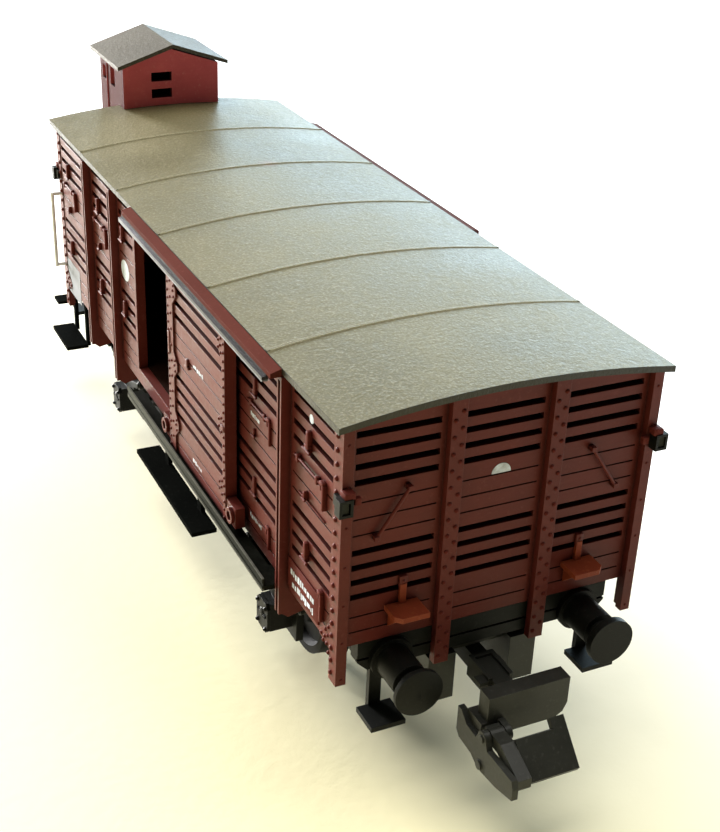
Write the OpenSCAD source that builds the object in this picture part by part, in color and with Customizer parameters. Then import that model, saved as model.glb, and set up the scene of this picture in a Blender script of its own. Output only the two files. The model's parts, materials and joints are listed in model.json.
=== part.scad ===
// Two-axle slatted box car with a raised brakeman's cab, 1:87, millimetres.
// X runs along the car, Y across it and Z up. The origin lies on the surface that the
// wheel flanges stand on, midway between the buffer faces.

/* [Body] */
// Length over the end planks
body_len = 90; // [84:0.5:96]
// Width over the corner angles
body_w = 31; // [29:0.25:32]
// Bottom edge of the side and end planks
body_z = 15.4; // [15.3:0.1:16]
// Top edge of the side walls
eave_z = 37.45; // [36.9:0.05:38]
// Thickness of the walls
wall_t = 1.1; // [0.8:0.05:1.2]
// Thickness left behind the slots
back_t = 0.3; // [0.2:0.05:0.5]
// How far the body is set from the middle of the underframe, towards +X
body_off = 3; // [2:0.1:4]

/* [Slats] */
// Height of one slot between two slats
slot_h = 0.6; // [0.3:0.05:0.8]
// Distance from one slot to the next
slot_pitch = 1.5; // [1.3:0.05:1.6]
// Depth of the groove between two closed planks
groove_d = 0.12; // [0.05:0.01:0.3]
// Height of that groove
groove_h = 0.16; // [0.1:0.02:0.3]

/* [Roof] */
// Half the width of the roof
roof_half = 16.2; // [15.8:0.1:16.4]
// Height of the crown above the roof's edge
roof_rise = 1.3; // [0.8:0.1:2]
// Thickness of the roof
roof_t = 0.6; // [0.4:0.1:0.8]
// Overhang past the end posts
roof_over = 0.5; // [0.2:0.1:0.8]

/* [Doors] */
// Width of a door
door_w = 17.2; // [16:0.1:18]
// Clear width of a doorway
doorway_w = 17; // [15:0.1:17]
// How far the left door stands open
left_open = 16.8; // [0:0.4:20]
// Thickness of a door
door_t = 1.2; // [0.9:0.1:1.3]

/* [Cab] */
// Length of the cab along the car
cab_len = 11; // [9:0.5:11.5]
// Width of the cab
cab_w = 13.2; // [11:0.2:14]
// Floor of the cab
cab_z = 24.5; // [22:0.5:27]
// Top of the cab's side walls
cab_eave_z = 44.5; // [42:0.1:46]
// Ridge of the cab's roof
cab_ridge_z = 47.5; // [46:0.1:50]

/* [Running gear] */
// Radius of the wheel tread
tread_r = 5.5; // [5:0.1:5.8]
// Height of the flange
flange_h = 1; // [0.6:0.1:1.2]
// Distance between the inner faces of a pair of wheels
back_to_back = 14.4; // [14.2:0.05:14.6]
// Distance between the axles
wheelbase = 51.7; // [46:0.1:54]
// Radius of the axle
axle_r = 0.75; // [0.6:0.05:1]
// Radius of the axle's thin ends
stub_r = 0.5; // [0.4:0.05:0.6]
// Radial clearance of a running fit
play = 0.05; // [0.03:0.01:0.09]

/* [Buffers and couplers] */
// Length over the buffers
over_buffers = 108; // [106:0.5:110]
// Height of the buffers and of the headstock's middle
buffer_z = 13.2; // [12.8:0.1:13.6]
// Distance from the car's centre line to a buffer
buffer_y = 9.8; // [9.4:0.1:10.2]
// Radius of a buffer plate
buffer_r = 2.3; // [2:0.1:2.4]
// Distance from the car's middle to a drawbar pivot
pivot_x = 41; // [40:0.5:42]

/* [Hidden] */
$fn = 64;

// Colours
red_brown = [0.42, 0.20, 0.18];
cab_red = [0.47, 0.20, 0.20];
step_brown = [0.50, 0.24, 0.16];
roof_grey = [0.58, 0.57, 0.49];
rail_grey = [0.66, 0.66, 0.64];
frame_black = [0.12, 0.12, 0.11];
steel = [0.62, 0.62, 0.60];
brass_tone = [0.72, 0.58, 0.30];

// Walls
half_w = body_w / 2;
plank_y = half_w - 0.1;
end_x = body_len / 2;
post_h = 0.8;
post_x = end_x + post_h;
corner_w = 1.5;
corner_end_w = 1;
end_post_y = 5;
end_post_w = 1.45;
post_foot_z = 12;
side_post_w = 1;
side_post_h = 0.95;
side_foot_z = 12.6;
flute_w = 0.44;
flute_d = 0.35;
post_head_z = 37.2;
side_posts = [-30, -18.5, 34.3];
top_slot_z = 36.35;
low_slot_z = 25;
slots_per_group = 4;
slot_rows = [for (i = [0:slots_per_group - 1], z = [top_slot_z, low_slot_z]) z - i * slot_pitch];
groove_rows = [29.9, 28.3, 26.7, 18.4, 16.8];

// Roof: the arch is one circle through both edges and the crown
roof_edge_z = eave_z + roof_t - 0.05;
arch_r = (roof_half * roof_half + roof_rise * roof_rise) / (2 * roof_rise);
seam_h = 0.08;
seam_w = 0.35;
roof_panels = 6;
roof_len = 2 * (post_x + roof_over);

// Floor
frame_top_z = 15.3;
ballast_t = 1;
floor_z = frame_top_z + ballast_t;
floor_t = 0.8;
doorway_z = floor_z + floor_t;
doorway_top = 36.9;

// Doors, given for the right side and closed. A doorway's middle lies beside the body's middle,
// and by the half turn to the other side for the other wall.
doorway_mid = 3;
door_in = half_w + 0.3;
door_out = door_in + door_t;
door_z = 15.7;
door_top = 36.75;
lead_strip_w = 0.75;
trail_strip_w = 1.8;
strip_t = 0.2;
track_y = door_out + 0.25;
track_far = -9.5;
track_near = 33.5;
hood_z = 37.2;
hood_out = track_y + 0.05;
top_rail_z = 36.45;

// Underframe
frame_x = 47.9;
frame_w = 26;
plate_t = 1;
headstock_t = 1.4;
headstock_z = 12.2;
sole_y = 10.6;
sole_t = 1.6;
plate_z = frame_top_z - plate_t;

// Running gear
axle_z = tread_r + flange_h;
flange_r = tread_r + flange_h;
wheel_w = 2.8;
flange_w = 0.8;
wheel_in = back_to_back / 2;
wheel_out = wheel_in + wheel_w;
bush_r = 1.3;
guard_y = 10.9;
guard_t = 0.8;
cup_r = 1;
cup_y = 12.9;
box_out = 14.1;
stub_y = 12.4;
axle_mid = 10.2;
front_axle_x = body_off + wheelbase / 2;
rear_axle_x = body_off - wheelbase / 2;

// Cab
cab_near = -41;
cab_far = cab_near - cab_len;
cab_wall = 0.9;
cab_low_near = body_off - roof_len / 2 - 0.2;
cab_roof_t = 0.5;
cab_over = 1.2;
cab_side_over = 1;
cab_slope = (cab_ridge_z - 45) / (cab_w / 2 + cab_side_over);
platform_t = 0.7;

// Feet of the middle end posts: in front of the headstock, and on the platform
front_mid_foot = 11.6;
rear_mid_foot = frame_top_z + platform_t;

// Coupler
bar_z = 8.4;
bar_t = 1.8;
pin_r = 0.9;
roof_z = bar_z + bar_t + 0.4;
leg_in = 2.9;
leg_out = 5.7;
shank_half = 0.9;
plate_back = 54.2;
plate_face = 55.85;
jaw_in = 4.5;
jaw_t = 0.6;
lug_y = -2.95;
lug_r = 0.7;
loop_x = 56.9;
loop_z = 9.17;
loop_pin_r = 0.35;
arm_top = 9.75;

// Extrudes a Y-Z outline along X
module along_x(len) {
    rotate([90, 0, 90]) linear_extrude(len, center = true) children();
}

// Extrudes an X-Z outline along Y, from y0 to y1
module across_y(y0, y1) {
    translate([0, y1, 0]) rotate([90, 0, 0]) linear_extrude(y1 - y0) children();
}

// A box given by its two corners
module block(a, b) {
    translate(a) cube(b - a);
}

// A round bar along Y, from y0 to y1
module bar_y(x, y0, y1, z, r) {
    translate([x, y1, z]) rotate([90, 0, 0]) cylinder(r = r, h = y1 - y0);
}

// Sets a right-side shape about the body's middle
module right_hung() {
    translate([body_off, 0, 0]) children();
}

// Turns a right-side shape half round about the body's middle, onto the left side
module left_hung() {
    translate([body_off, 0, 0]) rotate([0, 0, 180]) children();
}

// Turns a front-end shape half round onto the rear end
module rear_end() {
    rotate([0, 0, 180]) children();
}

// Sets a right-side shape at the axle at x, mirrored where s is -1
module at_axle(x, s) {
    translate([x, 0, 0]) mirror([0, s < 0 ? 1 : 0, 0]) children();
}

// Area under the roof's arch, with its edge at z and sides at +-half
module arch_area(z, half, down) {
    intersection() {
        translate([0, z + roof_rise - arch_r]) circle(r = arch_r, $fn = 240);
        translate([-half, z - down]) square([2 * half, down + roof_rise + 1]);
    }
}

// Rows of slots or grooves in a wall's outline, one set for each bay [from, to]
module rows(bays, heights, h) {
    for (bay = bays, z = heights)
        translate([bay[0], z - h / 2]) square([bay[1] - bay[0], h]);
}

// Bays between the posts of the left wall, and the same seen from the right side
left_bays = [[-43.8, -31], [-29, -19.5], [-17.5, -12.2], [6.6, 33.2], [35.4, 43.8]];
side_bays = [for (bay = left_bays) [-bay[1], -bay[0]]];

// Outline of a side wall in X-Z, with its slots and doorway, about the body's middle
module side_outline(slots, grooves) {
    difference() {
        translate([-end_x, body_z]) square([body_len, eave_z - body_z]);
        if (slots) rows(side_bays, slot_rows, slot_h);
        translate([doorway_mid - doorway_w / 2, doorway_z])
            square([doorway_w, doorway_top - doorway_z]);
        if (grooves) rows(side_bays, groove_rows, groove_h);
    }
}

// The right side wall in three layers: the closed back, the slots and the fine grooves
module side_wall() {
    slot_foot = plank_y - wall_t + back_t;
    across_y(plank_y - wall_t, slot_foot) side_outline(false, false);
    across_y(slot_foot, plank_y - groove_d) side_outline(true, false);
    across_y(plank_y - groove_d, plank_y) side_outline(true, true);
    for (x = side_posts) side_post(-x);
    for (s = [-1, 1]) corner_leg(s);
}

// A fluted post on a side wall, with a knee plate behind its foot
module side_post(x) {
    out = plank_y + side_post_h;
    knee_in = frame_w / 2 + 0.1;
    difference() {
        block([x - side_post_w / 2, plank_y, side_foot_z], [x + side_post_w / 2, out, post_head_z]);
        block([x - flute_w / 2, out - flute_d, side_foot_z - 1],
              [x + flute_w / 2, out + 1, post_head_z - 0.4]);
    }
    translate([x, 0, 0]) along_x(side_post_w) polygon([[knee_in, body_z], [knee_in, side_foot_z],
        [plank_y, side_foot_z - 0.5], [out - flute_d, side_foot_z], [plank_y, body_z]]);
}

// The side leg of a corner angle, with the gusset at its foot
module corner_leg(s) {
    across_y(plank_y, half_w) {
        translate([s > 0 ? end_x - 0.7 : -post_x, post_foot_z])
            square([corner_w, eave_z - post_foot_z]);
        polygon([[s * end_x, body_z - 0.4], [s * (end_x - 2.8), body_z],
                 [s * (end_x - 2.8), body_z + 0.6], [s * end_x, body_z + 3]]);
    }
    block([s > 0 ? end_x - 0.7 : -post_x, plank_y - 0.6, post_foot_z],
          [s > 0 ? post_x : 0.7 - end_x, plank_y, body_z]);
}

// The end wall at +X with its posts, about the body's middle
end_bays = [[-14, -6.2], [-3.8, 3.8], [6.2, 14]];
module end_outline(slots, grooves) {
    difference() {
        union() {
            translate([-plank_y, body_z]) square([2 * plank_y, eave_z - body_z]);
            arch_area(roof_edge_z - roof_t, plank_y, 0.5);
        }
        if (slots) rows(end_bays, slot_rows, slot_h);
        if (grooves) rows(end_bays, groove_rows, groove_h);
    }
}

// mid_foot is the height of the middle posts' feet
module end_wall(mid_foot) {
    slot_t = wall_t - back_t - groove_d;
    translate([end_x - wall_t + back_t / 2, 0, 0]) along_x(back_t) end_outline(false, false);
    translate([end_x - groove_d - slot_t / 2, 0, 0]) along_x(slot_t) end_outline(true, false);
    translate([end_x - groove_d / 2, 0, 0]) along_x(groove_d) end_outline(true, true);
    translate([end_x + post_h / 2, 0, 0]) along_x(post_h) intersection() {
        union() {
            for (y = [-end_post_y, end_post_y])
                translate([y - end_post_w / 2, mid_foot]) square([end_post_w, 30]);
            for (y = [-half_w, half_w - corner_end_w])
                translate([y, post_foot_z]) square([corner_end_w, 30]);
        }
        union() {
            translate([-half_w, 0]) square([body_w, eave_z]);
            arch_area(roof_edge_z - roof_t, half_w, 0.5);
        }
    }
}

module body_shell() {
    color(red_brown) translate([body_off, 0, 0]) {
        side_wall();
        rotate([0, 0, 180]) side_wall();
        end_wall(front_mid_foot);
        rotate([0, 0, 180]) end_wall(rear_mid_foot);
    }
}

module roof() {
    color(roof_grey) translate([body_off, 0, 0]) {
        along_x(roof_len) difference() {
            arch_area(roof_edge_z, roof_half, roof_t);
            translate([0, -roof_t]) arch_area(roof_edge_z, roof_half, 5);
        }
        for (i = [1:roof_panels - 1])
            translate([roof_len * (i / roof_panels - 0.5), 0, 0]) along_x(seam_w)
                difference() {
                    translate([0, seam_h]) arch_area(roof_edge_z, roof_half, 0.3);
                    translate([0, -0.3]) arch_area(roof_edge_z, roof_half, 5);
                }
    }
}

module floor_plate() {
    inner_x = end_x - wall_t;
    inner_y = plank_y - wall_t;
    color(step_brown) block([body_off - inner_x, -inner_y, floor_z],
                            [body_off + inner_x, inner_y, floor_z + floor_t]);
}

module ballast_plate() {
    color(steel) block([body_off - 38, -12, frame_top_z], [body_off + 38, 12, floor_z]);
}

// Underframe: top plate, solebars and headstocks
module underframe() {
    groove_z = 13.5;
    color(frame_black) difference() {
        union() {
            block([-frame_x, -frame_w / 2, plate_z], [frame_x, frame_w / 2, frame_top_z]);
            for (s = [-1, 1]) {
                translate([0, s * (sole_y + sole_t / 2), 0]) sole_bar();
                translate([s * (frame_x - headstock_t / 2), 0, 0]) along_x(headstock_t)
                    headstock_outline();
            }
        }
        for (s = [-1, 1]) translate([s * frame_x, 0, groove_z])
            cube([0.4, frame_w + 2, 0.25], center = true);
    }
}

// Headstock in Y-Z, with its lower corners cut off
module headstock_outline() {
    half = frame_w / 2;
    cut = 1;
    polygon([[-half, plate_z], [-half, headstock_z + cut], [-half + cut, headstock_z],
             [half - cut, headstock_z], [half, headstock_z + cut], [half, plate_z]]);
}

// A channel section, open on both long sides
module sole_bar() {
    web_t = 0.5;
    flange_t = 0.35;
    along_x(2 * (frame_x - headstock_t)) {
        translate([-web_t / 2, headstock_z]) square([web_t, plate_z - headstock_z]);
        for (z = [headstock_z, plate_z - flange_t])
            translate([-sole_t / 2, z]) square([sole_t, flange_t]);
    }
}

module end_platform() {
    body_end = body_off - post_x;
    color(step_brown) block([-frame_x, -frame_w / 2, frame_top_z],
                            [body_end, frame_w / 2, frame_top_z + platform_t]);
}

// A right-hand door, closed, about its own middle; it opens towards -X
door_bay = [[-door_w / 2 + lead_strip_w, door_w / 2 - trail_strip_w]];
module door_outline(slots, grooves) {
    difference() {
        translate([-door_w / 2, door_z]) square([door_w, door_top - door_z]);
        if (slots) rows(door_bay, slot_rows, slot_h);
        if (grooves) rows(door_bay, groove_rows, groove_h);
    }
}

module door() {
    skin = door_out - strip_t;
    across_y(door_in, door_in + back_t) door_outline(false, false);
    across_y(door_in + back_t, skin - groove_d) door_outline(true, false);
    across_y(skin - groove_d, skin) door_outline(true, true);
    across_y(skin, door_out) {
        edge_strip(lead_strip_w);
        mirror([1, 0]) edge_strip(trail_strip_w);
    }
    roller_box();
    mirror([1, 0, 0]) roller_box();
}

// Outline of the strip on a door's leading edge, w wide, with its three gussets
module edge_strip(w) {
    inner = -door_w / 2 + w;
    gusset_w = 1.1;
    translate([-door_w / 2, door_z]) square([w, door_top - door_z]);
    for (z = [19.2, 26.2, 34.6])
        polygon([[inner, z - 1.5], [inner + gusset_w, z - 0.4], [inner + gusset_w, z + 0.4],
                 [inner, z + 1.5]]);
}

// The box beside a door's lower corner, with the ring of its roller outside
module roller_box() {
    ring_x = door_w / 2 + 1.5;
    ring_z = 17.4;
    ring_r = 0.85;
    hollow_r = 0.5;
    block([door_w / 2, door_in + 0.1, ring_z - 1.1], [ring_x + 1, door_out - 0.1, ring_z + 1.1]);
    difference() {
        bar_y(ring_x, door_out - 0.1, door_out + 0.25, ring_z, ring_r);
        bar_y(ring_x, door_out, door_out + 1, ring_z, hollow_r);
    }
}

module door_right() {
    color(red_brown) right_hung() translate([doorway_mid, 0, 0]) door();
}

module door_left() {
    color(red_brown) translate([left_open, 0, 0]) left_hung() translate([doorway_mid, 0, 0]) door();
}

// Door hood: a slim roof over the top rail, tucked under the main roof's edge.
// The right side's hoods and rails point the other way, towards -X.
module door_hood() {
    color(red_brown) translate([-(track_far + track_near + 1.1) / 2, 0, 0])
        along_x(track_near + 1.1 - track_far)
            polygon([[half_w, hood_z], [hood_out, hood_z], [hood_out, hood_z + 0.45],
                     [roof_half + 0.05, hood_z + 0.75], [roof_half + 0.05, hood_z + 0.18],
                     [half_w, hood_z + 0.18]]);
}

// Top rail: an angle whose web hangs from the hood
module top_rail() {
    color(rail_grey) {
        block([-track_near, track_y - 0.2, top_rail_z], [-track_far, track_y, hood_z]);
        block([-track_near, track_y, top_rail_z], [-track_far, track_y + 0.4, top_rail_z + 0.45]);
    }
}

// Lower rail: a channel that the door's foot runs in, with its brackets
module lower_rail() {
    inner = half_w + 0.1;
    outer = 17.5;
    lip_in = track_y + 0.05;
    base_z = 14.7;
    base_t = 0.5;
    lip_z = 16.1;
    groove_t = 0.08;
    bracket_half = 0.6;
    color(rail_grey * 0.5) {
        translate([-(track_near + track_far) / 2, 0, 0])
            along_x(track_near - track_far) difference() {
                polygon([[inner, base_z], [outer, base_z], [outer, lip_z], [lip_in, lip_z],
                         [lip_in, base_z + base_t], [inner, base_z + base_t]]);
                translate([outer - groove_t, base_z + base_t]) square([1, 0.35]);
            }
        for (x = [-31, -18, -5, 8])
            block([x - bracket_half, frame_w / 2, base_z], [x + bracket_half, inner, base_z + base_t]);
    }
}

// Loading step below a doorway, hung from the solebar by two straps
module loading_step() {
    strap_in = sole_y + sole_t;
    strap_y = 13.6;
    strap_t = 0.5;
    strap_half = 0.6;
    strap_z = 13.4;
    tread_z = 6.5;
    tread_half = 10.2;
    tread_out = 16.5;
    color(frame_black) {
        block([-tread_half, strap_y, tread_z], [tread_half, tread_out, tread_z + strap_t]);
        for (x = [-5.8, 5.8]) {
            block([x - strap_half, strap_y, tread_z + strap_t],
                  [x + strap_half, strap_y + strap_t, strap_z]);
            block([x - strap_half, strap_in, strap_z - strap_t],
                  [x + strap_half, strap_y, strap_z]);
        }
    }
}

// Shunter's step under a buffer of the front end
module shunter_step(s) {
    mid_y = s * 11.1;
    tread_z = 7.6;
    tread_t = 0.5;
    tread_half = 1.7;
    hanger_half = 0.6;
    color(frame_black) {
        block([frame_x - 0.2, mid_y - tread_half, tread_z],
              [frame_x + 3, mid_y + tread_half, tread_z + tread_t]);
        block([frame_x - 0.6, mid_y - hanger_half, tread_z + tread_t],
              [frame_x, mid_y + hanger_half, headstock_z]);
        block([frame_x - 0.6, mid_y - hanger_half, tread_z],
              [frame_x - 0.2, mid_y + hanger_half, tread_z + tread_t]);
    }
}

// A box from y0 to y1 on the right side, or its mirror image on the left where s is -1
module side_block(s, x0, x1, y0, y1, z0, z1) {
    block([x0, min(s * y0, s * y1), z0], [x1, max(s * y0, s * y1), z1]);
}

// Two treads at a far corner, for climbing to the cab, on a pair of hangers
module cab_step(s) {
    low_z = 6.8;
    high_z = 11.2;
    hang_y = 13.5;
    hang_t = 0.5;
    hang_w = 0.8;
    top_z = 14.8;
    color(frame_black) {
        side_block(s, -46, -38, hang_y + hang_t, 17, low_z, low_z + 0.5);
        side_block(s, -46.6, -44.2, hang_y + hang_t, 16.4, high_z, high_z + 0.4);
        for (x = [-45.4, -39.4]) {
            side_block(s, x, x + hang_w, hang_y, hang_y + hang_t, low_z, top_z);
            side_block(s, x, x + hang_w, frame_w / 2, hang_y, top_z - hang_t, top_z);
        }
    }
}

// Small steps on the end wall above the front buffers, each on a web
module buffer_steps() {
    tread_half = 1.6;
    depth = 2.5;
    tread_z = 18.4;
    tread_t = 0.5;
    web_t = 0.3;
    color(step_brown) for (s = [-1, 1]) translate([body_off + end_x, s * 9.05, 0]) {
        difference() {
            block([0, -tread_half, tread_z], [depth, tread_half, tread_z + tread_t]);
            translate([depth, s * tread_half, tread_z]) rotate([0, 0, 45])
                cube([0.8, 0.8, 3], center = true);
        }
        for (y = [-1.05, 1.05]) across_y(y - web_t / 2, y + web_t / 2)
            polygon([[0, tread_z - 1.8], [2, tread_z], [0, tread_z]]);
        block([0, -0.3, tread_z + tread_t], [0.35, 0.3, tread_z + tread_t + 2]);
    }
}

// Slanting wire handles on the front end wall: a round bar with a foot at each end
module grab_handles() {
    wire_r = 0.16;
    foot_half = 0.22;
    reach = 0.5;
    low = [12, 26.4];
    high = [9.1, 30.7];
    rise = high - low;
    x = body_off + end_x;
    color(red_brown) for (s = [-1, 1]) {
        for (p = [low, high])
            block([x, s * p[0] - foot_half, p[1] - foot_half],
                  [x + reach + foot_half, s * p[0] + foot_half, p[1] + foot_half]);
        translate([x + reach, s * low[0], low[1]])
            rotate([-s * atan2(rise[0], rise[1]), 0, 0])
                cylinder(r = wire_r, h = norm(rise));
    }
}

// Lamp bracket: an arm on the corner post with a square socket at its end
module lamp_bracket(sx, sy) {
    color(frame_black) translate([body_off, 0, 0]) mirror([sx < 0 ? 1 : 0, 0, 0])
        mirror([0, sy < 0 ? 1 : 0, 0]) {
            block([post_x - 0.9, half_w, 30.3], [post_x, half_w + 0.35, 31.3]);
            difference() {
                block([post_x, half_w - 0.6, 29.9], [post_x + 1, half_w + 0.65, 31.5]);
                block([post_x + 0.4, half_w - 0.35, 30.15], [post_x + 2, half_w + 0.4, 31.25]);
            }
        }
}

// Gable outline of the cab, grown by g
module cab_outline(g) {
    half = cab_w / 2 + g;
    peak = cab_eave_z + g + half * cab_slope;
    polygon([[-half, cab_z - g], [half, cab_z - g], [half, cab_eave_z + g * 0.4],
             [0, peak - g], [-half, cab_eave_z + g * 0.4]]);
}

module cab_shell() {
    mid = (cab_near + cab_far) / 2;
    low_len = cab_low_near - cab_far;
    inner = cab_w / 2 - cab_wall;
    ledge_z = 40.2;
    ceiling_z = cab_eave_z - 0.2;
    color(cab_red) difference() {
        union() {
            translate([mid, 0, 0]) along_x(cab_len) intersection() {
                cab_outline(0);
                translate([-20, 37]) square([40, 20]);
            }
            translate([cab_far + low_len / 2, 0, 0]) along_x(low_len) cab_outline(0);
        }
        block([cab_far + cab_wall, -inner, cab_z + cab_wall],
              [cab_low_near - cab_wall, inner, ledge_z + 0.1]);
        block([cab_far + cab_wall, -inner, ledge_z], [cab_near - cab_wall, inner, ceiling_z]);
        translate([body_off, 0, 0]) along_x(roof_len + 0.2) arch_area(roof_edge_z + 0.02, 20, 5);
        cab_openings();
    }
}

// Vent slots in the near wall, a window in the far wall, and in each side a window in the
// door, the groove round the door and a small window beside it
module cab_openings() {
    window_z = 42.1;
    door_x = -46.6;
    cut = 3;
    for (z = [40.9, 43.1]) translate([cab_near, -1.35, z]) cube([cut, 2.8, 1.2], center = true);
    translate([cab_far, 0, 42]) cube([cut, 3.2, 2.6], center = true);
    for (s = [-1, 1]) translate([0, s * cab_w / 2, 0]) {
        translate([door_x, 0, window_z]) cube([2, cut, 2.4], center = true);
        translate([door_x, 0, 34.3]) cube([4.6, 0.3, 18.4], center = true);
        translate([-50, 0, window_z]) cube([1.6, cut, 1.8], center = true);
    }
}

module cab_roof() {
    half = cab_w / 2 + cab_side_over;
    edge = cab_ridge_z - half * cab_slope;
    len = cab_len + 2 * cab_over;
    color(roof_grey) translate([(cab_near + cab_far) / 2, 0, 0]) along_x(len)
        polygon([[-half, edge - cab_roof_t], [-half, edge], [0, cab_ridge_z], [half, edge],
                 [half, edge - cab_roof_t], [0, cab_ridge_z - cab_roof_t]]);
}

// Two uprights from the platform to the cab's floor, with struts to its far edge and two ties
module cab_supports() {
    foot_z = frame_top_z + platform_t;
    leg_y = 5.4;
    leg_w = 1;
    leg_x = -frame_x + 0.2;
    strut_t = 0.6;
    strut_x = -51.8;
    color(frame_black) {
        for (s = [-1, 1]) {
            block([leg_x, s * leg_y - leg_w / 2, foot_z],
                  [leg_x + leg_w, s * leg_y + leg_w / 2, cab_z]);
            across_y(s * leg_y - strut_t / 2, s * leg_y + strut_t / 2)
                polygon([[leg_x, 19.2], [leg_x, 20.4], [strut_x + 0.8, cab_z],
                         [strut_x, cab_z], [strut_x, cab_z - 0.5]]);
        }
        for (z = [18.2, 21.2])
            block([leg_x + 0.2, -leg_y + leg_w / 2, z], [leg_x + 0.8, leg_y - leg_w / 2, z + 0.4]);
    }
}

// Upright wire rail at a far corner, held by two short feet
module cab_handrail(s) {
    wire_r = 0.22;
    low_z = 18;
    high_z = 28.5;
    x = body_off - end_x + 0.3;
    y = s * (half_w + 1.3);
    color(steel) {
        translate([x, y, low_z]) cylinder(r = wire_r, h = high_z - low_z);
        for (z = [low_z + wire_r, high_z - wire_r])
            bar_y(x, min(y, s * half_w), max(y, s * half_w), z, wire_r);
    }
}

// Buffer at the front end: base, sleeve, stem and plate, the left plate domed
module buffer(s) {
    x = frame_x;
    face = over_buffers / 2;
    dome_r = 9;
    head_t = 0.75;
    base_r = 2.1;
    sleeve_r = 1.7;
    sleeve_h = 4.1;
    color(frame_black) translate([x, s * buffer_y, buffer_z]) rotate([0, 90, 0]) {
        cylinder(r = base_r, h = 0.6);
        cylinder(r = sleeve_r, h = sleeve_h);
        translate([0, 0, sleeve_h]) cylinder(r = 1.1, h = face - x - sleeve_h - head_t);
        translate([0, 0, face - x - head_t]) {
            if (s < 0) {
                intersection() {
                    cylinder(r = buffer_r, h = head_t);
                    translate([0, 0, head_t - dome_r]) sphere(r = dome_r, $fn = 96);
                }
            } else {
                cylinder(r = buffer_r, h = head_t);
            }
        }
    }
}

// Axle guard on the right side: W-iron, leaf spring and axle box, about an axle at x = 0.
// These give its box and its spring.
box_half = 1.25;
box_z = 4.7;
box_h = 3.2;
leaf_w = 1.5;
eye_x = 6.9;
eye_z = 11;

// Lid of an axle box: a plate with cut corners, a little larger than the box
module lid_outline() {
    half = box_half + 0.2;
    cut = 0.5;
    low = box_z - 0.2;
    high = box_z + box_h + 0.1;
    polygon([[-half + cut, low], [half - cut, low], [half, low + cut], [half, high - cut],
             [half - cut, high], [-half + cut, high], [-half, high - cut], [-half, low + cut]]);
}

module axle_guard() {
    outer = guard_y + guard_t;
    top_half = 5.2;
    foot_half = 2.4;
    foot_z = 3.6;
    color(frame_black) difference() {
        union() {
            across_y(guard_y, outer)
                polygon([[-top_half, headstock_z], [top_half, headstock_z], [2.7, 8.6],
                         [foot_half, foot_z], [-foot_half, foot_z], [-2.7, 8.6]]);
            across_y(outer, box_out)
                translate([-box_half, box_z]) square([2 * box_half, box_h]);
            across_y(box_out, box_out + 0.35) lid_outline();
            across_y(outer, outer + leaf_w) translate([-0.7, box_z + box_h]) square([1.4, 2.7]);
            across_y(outer + 0.1, outer + leaf_w) leaf_pack();
            for (s = [-1, 1]) {
                bar_y(s * eye_x, outer - 0.4, outer + leaf_w + 0.2, eye_z, 0.55);
                block([s * eye_x - 0.4, outer - 0.4, eye_z],
                      [s * eye_x + 0.4, outer + 0.4, headstock_z]);
            }
        }
        bar_y(0, guard_y - 1, cup_y, axle_z, cup_r);
    }
}

// Four leaves, the top one longest, bent to one centre above
module leaf_pack() {
    inner_r = 16;
    leaf_t = 0.36;
    low_z = 9.6;
    for (i = [0:3]) intersection() {
        translate([0, low_z + inner_r]) difference() {
            circle(r = inner_r + leaf_t * (i + 1), $fn = 160);
            circle(r = inner_r + leaf_t * i, $fn = 160);
        }
        translate([-6.9 + 1.5 * i, 5]) square([13.8 - 3 * i, 8]);
    }
}

// Brass cups in all four axle boxes
module bearing_cups() {
    color(brass_tone) for (x = [front_axle_x, rear_axle_x], s = [-1, 1])
        translate([x, 0, 0]) mirror([0, s < 0 ? 1 : 0, 0]) difference() {
            bar_y(0, guard_y, cup_y, axle_z, cup_r);
            bar_y(0, guard_y - 1, stub_y + 0.2, axle_z, stub_r + play);
        }
}

// Brake blocks on the inner sides of the wheels, on hangers, with cross beams, a brake shaft
// in two brackets, and a pull rod
module brake_gear() {
    gap = 0.4;
    block_t = 1.1;
    block_w = 1.4;
    block_y = 9;
    beam_x = 7.3;
    beam_half = 8.3;
    rod_half = 0.25;
    shaft_z = axle_z + 1.2;
    shaft_half = 2.9;
    color(frame_black) {
        for (x = [front_axle_x, rear_axle_x]) {
            d = x > body_off ? -1 : 1;
            for (s = [-1, 1])
                across_y(s * block_y - block_w / 2, s * block_y + block_w / 2) {
                    intersection() {
                        translate([x, axle_z]) difference() {
                            circle(r = tread_r + gap + block_t);
                            circle(r = tread_r + gap);
                        }
                        translate([x + d * 6.2, axle_z]) square([3.4, 5.4], center = true);
                    }
                    translate([x + d * beam_x - 0.4, axle_z]) square([0.8, plate_z - axle_z]);
                }
            bar_y(x + d * beam_x, -beam_half, beam_half, axle_z, 0.5);
        }
        block([rear_axle_x + beam_x + 0.3, -0.4, axle_z - rod_half],
              [front_axle_x - beam_x - 0.3, 0.4, axle_z + rod_half]);
        for (y = [-2.5, 2.5])
            block([body_off - 0.4, y - 0.4, shaft_z + 0.4], [body_off + 0.4, y + 0.4, plate_z]);
        bar_y(body_off, -shaft_half, shaft_half, shaft_z, 0.5);
        block([body_off - 0.3, -0.4, axle_z - rod_half], [body_off + 0.3, 0.4, shaft_z]);
    }
}

// Axle with thin ends, about x = 0
module axle() {
    color(steel) {
        bar_y(0, -axle_mid, axle_mid, axle_z, axle_r);
        bar_y(0, -stub_y, stub_y, axle_z, stub_r);
    }
}

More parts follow.
